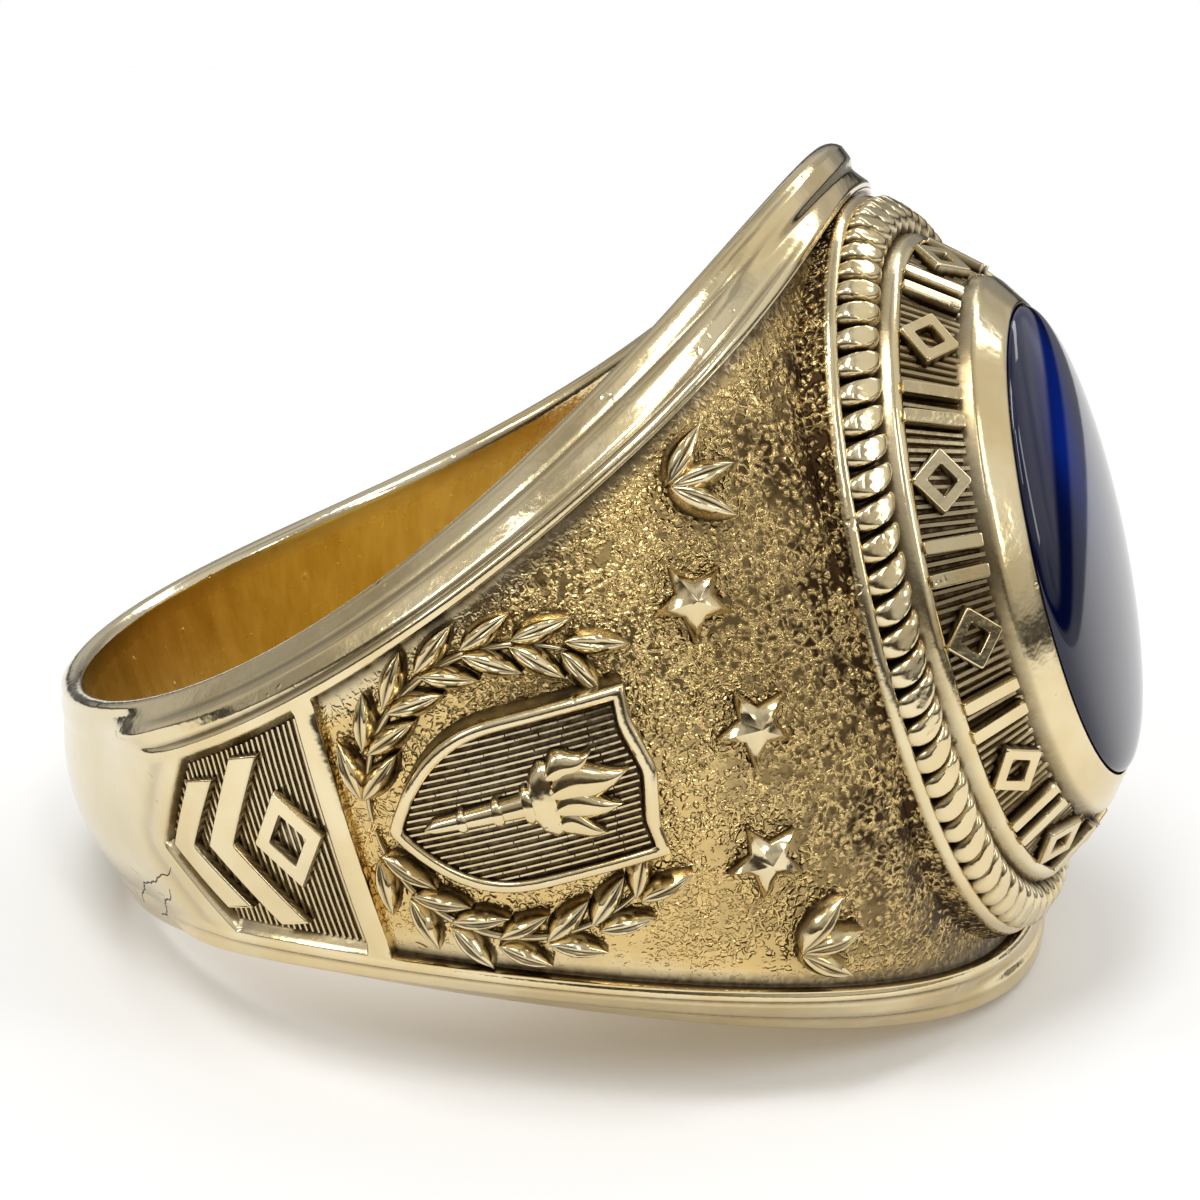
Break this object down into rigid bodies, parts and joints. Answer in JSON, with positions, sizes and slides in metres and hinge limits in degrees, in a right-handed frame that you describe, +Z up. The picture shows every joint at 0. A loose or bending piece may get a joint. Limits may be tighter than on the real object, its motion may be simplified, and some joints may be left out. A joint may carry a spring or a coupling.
{
  "type": "class ring",
  "caption": "Heavy cast gold class ring with a flared head, rope-bordered oval bezel, raised side panels and a low domed blue stone.",
  "frame": {"origin": "middle of the ring's bounding box on the surface it lies on", "axes": "+Z up from that surface, +X towards the head and its stone, +Y across the finger; the finger axis lies in the XZ plane and leans 19.7 degrees from +Z towards -X"},
  "size_m": [0.0259, 0.025, 0.0189],
  "materials": {
    "gold": "polished pale yellow gold with darkened recesses",
    "blue_stone": "polished deep blue low dome"
  },
  "bodies": {
    "root": {"ring_body": "gold", "stone": "blue_stone"}
  },
  "joints": []
}
